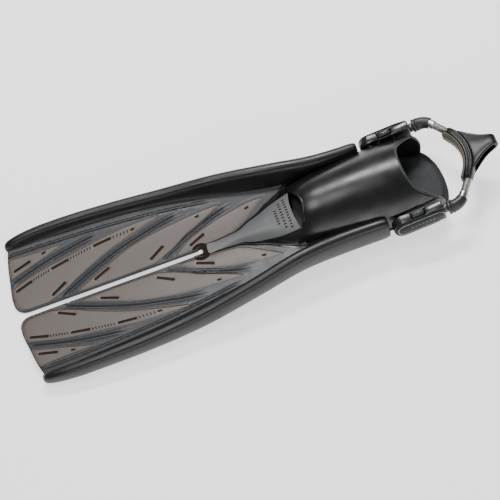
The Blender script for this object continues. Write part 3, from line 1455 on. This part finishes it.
def makeLining():
    # Thin layers that step back towards the heel.
    count = 41
    profile = [(0.4, 10.6), (-1, 11.2), (-1.7, 10.4), (-2.1, 9), (-2.9, 8.4), (-3.1, 6.4), (-3.5, 5.6), (-3.5, 0),
               (-3.5, -7), (-3, -10), (-2, -11.4), (0.4, -11.2)]
    verts = []
    for k in range(count):
        share = -1 + 2 * k / (count - 1)
        angle = math.radians(43.5) * share
        taper = 1 - 0.3 * smoothStep(abs(share), 0.75, 1) - 0.3 * smoothStep(abs(share), 0.95, 1)
        thin = 1 - 0.5 * smoothStep(abs(share), 0.94, 1)
        for r, up in profile:
            verts.append(ringPoint(strap["padRadius"] - 6 + r * thin, angle, up * taper))
    around = len(profile)
    faces = grid(count, around, closedColumns=True)
    faces.append(tuple(range(around)))
    faces.append(tuple(reversed(range((count - 1) * around, count * around))))
    piece = newPiece("heel_pad_layers", place(strapPoints(verts)), faces, [looks["liningRubber"]], sharp=30)
    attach(piece, "heel_pad")
    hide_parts("heel_pad_lining")


def makeFingerLoop():
    # The band round its hole; its root is as wide as the pad and narrows towards the tip.
    root = padCentre + strap["padRadius"] + 3
    reach = 155
    outer = [(root, 10.4), (root + 8, 9.8), (root + 18, 8.9), (reach - 9, 8.6), (reach - 3, 7), (reach, 2.5),
             (reach, -2.5), (reach - 3, -7), (reach - 9, -8.6), (root + 18, -8.9), (root + 8, -9.8),
             (root, -10.4)]
    inner = [(root + 2, 5), (root + 9, 5.6), (root + 17, 5.2), (reach - 11, 5), (reach - 6.5, 4),
             (reach - 4.5, 1.4), (reach - 4.5, -1.4), (reach - 6.5, -4), (reach - 11, -5), (root + 17, -5.2),
             (root + 9, -5.6), (root + 2, -5)]
    places = [root, root + 5, root + 10, root + 18, reach - 9, reach - 3, reach]
    widths = [36, 27, 20, 13.5, 9, 8, 7.2]
    shares = (-1, -0.82, -0.45, 0, 0.45, 0.82, 1)
    hollow = (0.35, 0, 0.8, 1, 0.8, 0, 0.35)
    backRadius = strap["padRadius"] + 3
    verts = []
    for loop in (outer, inner):
        for share, deep in zip(shares, hollow):
            for x, z in loop:
                y = np.interp(x, places, widths) * share
                toTip = (x - root) / (reach - root)
                ringSag = backRadius - math.sqrt(backRadius**2 - y * y)
                sag = deep * (2.9 - 2.1 * toTip) * np.sign(z) if loop is outer else 0
                verts.append((x - ringSag * (1 - toTip) ** 2, y, z - sag))
    n = len(outer)
    layers = len(shares)
    faces = []
    for layer in range(layers - 1):
        for k in range(n - 1):
            a = layer * n + k
            faces.append((a, a + 1, a + 1 + n, a + n))
            b = (layers + layer) * n + k
            faces.append((b + n, b + 1 + n, b + 1, b))
        for k in (0, n - 1):
            a = layer * n + k
            faces.append((a, a + n, a + n + layers * n, a + layers * n))
    for k in range(n - 1):
        a = (layers - 1) * n + k
        faces.append((k, k + layers * n, k + 1 + layers * n, k + 1))
        faces.append((a + 1, a + 1 + layers * n, a + layers * n, a))
    piece = newPiece("pull_loop", place(strapPoints(verts)), faces, [looks["padRubber"]], sharp=70)
    smoothed(piece, 2, 60)
    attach(piece, "heel_pad")
    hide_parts("finger_loop")


makePad()
makeLining()
makeFingerLoop()
print("heel pad made")


# CAD nodes that stay.

kept = {
    "left_strap_post": "steel",
    "right_strap_post": "steel",
}
for node, look in kept.items():
    shown = frame["nodes"][node]
    for part in [shown] + list(shown.children):
        if part.type == "MESH":
            for index in range(max(1, len(part.material_slots))):
                if len(part.material_slots):
                    part.material_slots[index].material = looks[look]
                else:
                    part.data.materials.append(looks[look])


# Floor, light and camera.

def makeStage():
    floorMaterial = newMaterial("floorWhite", (0.8, 0.8, 0.8), 0.7, variation=0.01, grain=0.02, glow=1.1)
    mesh = bpy.data.meshes.new("floor")
    reach = 6
    mesh.from_pydata([(-reach, -reach, 0), (reach, -reach, 0), (reach, reach, 0), (-reach, reach, 0)], [],
                     [(0, 1, 2, 3)])
    mesh.materials.append(floorMaterial)
    floor = bpy.data.objects.new("floor", mesh)
    floor.location = (0, 0, -0.0005)
    bpy.context.scene.collection.objects.link(floor)
    world = bpy.data.worlds.new("studio")
    world.use_nodes = True
    world.node_tree.nodes["Background"].inputs["Color"].default_value = (0.93, 0.95, 1, 1)
    world.node_tree.nodes["Background"].inputs["Strength"].default_value = 0.22
    bpy.context.scene.world = world


def makeLight(name, location, target, sizeX, sizeY, power):
    light = bpy.data.lights.new(name, "AREA")
    light.shape = "RECTANGLE"
    light.size = sizeX
    light.size_y = sizeY
    light.energy = power
    lamp = bpy.data.objects.new(name, light)
    lamp.location = location
    lamp.rotation_euler = (Vector(target) - Vector(location)).to_track_quat("-Z", "Y").to_euler()
    bpy.context.scene.collection.objects.link(lamp)


def makeCamera():
    shot = {"place": (-0.19715, -1.32843, 2.27793), "elevation": 59.706, "azimuth": 7.828, "roll": 11.289,
            "lens": 144}
    elevation = math.radians(shot["elevation"])
    azimuth = math.radians(shot["azimuth"])
    forward = Vector((math.sin(azimuth) * math.cos(elevation), math.cos(azimuth) * math.cos(elevation),
                      -math.sin(elevation)))
    right = forward.cross(Vector((0, 0, 1))).normalized()
    up = right.cross(forward)
    roll = math.radians(shot["roll"])
    tiltedUp = up * math.cos(roll) + right * math.sin(roll)
    tiltedRight = forward.cross(tiltedUp)
    turnMatrix = Matrix((tiltedRight, tiltedUp, -forward)).transposed()
    data = bpy.data.cameras.new("camera")
    data.lens = shot["lens"]
    data.sensor_width = 36
    data.clip_start = 0.1
    data.clip_end = 50
    camera = bpy.data.objects.new("camera", data)
    camera.matrix_world = Matrix.Translation(shot["place"]) @ turnMatrix.to_4x4()
    bpy.context.scene.collection.objects.link(camera)
    bpy.context.scene.camera = camera


makeStage()
makeLight("keyFar", (0.3, 1.35, 1.9), (0, 0, 0.03), 1, 0.3, 46)
makeLight("topSoft", (-0.5, 0.1, 2.2), (0, 0, 0), 0.9, 0.6, 18)
makeLight("nearFill", (0.2, -1.7, 0.9), (0, 0, 0.03), 2, 0.3, 14)
makeCamera()
print("stage made")
